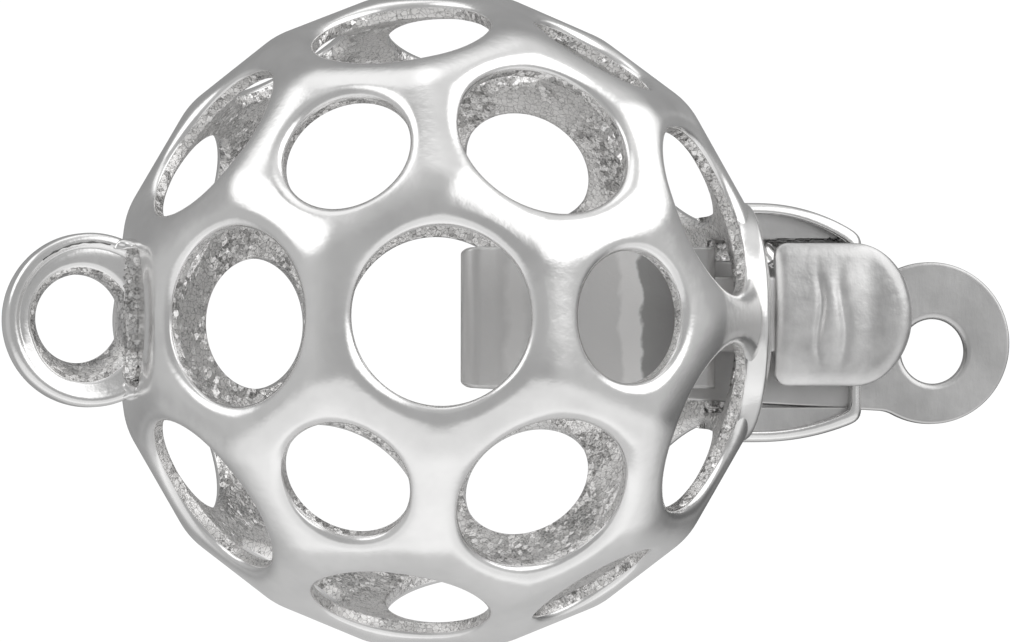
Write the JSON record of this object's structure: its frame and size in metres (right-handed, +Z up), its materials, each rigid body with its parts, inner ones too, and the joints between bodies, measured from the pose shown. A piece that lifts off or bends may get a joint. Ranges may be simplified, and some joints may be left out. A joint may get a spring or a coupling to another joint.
{
  "type": "bead clasp",
  "caption": "Pierced hollow ball clasp for a bead necklace: thread ring at one end, folded spring tongue with thumb tab and end ring sliding out of the other.",
  "frame": {"origin": "on the table, under the middle of the lying clasp's bounding box", "axes": "+X along the clasp from the thread ring to the end ring, +Z up; the clasp's own axis leans down by 10.8 degrees towards the end ring"},
  "size_m": [0.0156, 0.01, 0.0095],
  "materials": {
    "ball_metal": "polished silver, as cast inside",
    "tongue_metal": "satin silver sheet",
    "lever_metal": "satin silver sheet, pressed"
  },
  "bodies": {
    "cage": {"ball_cage": "ball_metal"},
    "tongue": {"tongue": "tongue_metal"},
    "lever": {"thumb_lever": "lever_metal"}
  },
  "joints": [
    {"name": "tongue_slide", "type": "slide", "parent": "cage", "child": "tongue", "axis": [0.9822, 0, -0.1876], "range_m": [0, 0.0052]},
    {"name": "lever_press", "type": "hinge", "parent": "tongue", "child": "lever", "pos_m": [-0.00018, 0.00006, 0.00412], "axis": [0, 1, 0], "range_deg": [0, 3.5], "stiffness_Nm_per_rad": 0.1}
  ]
}
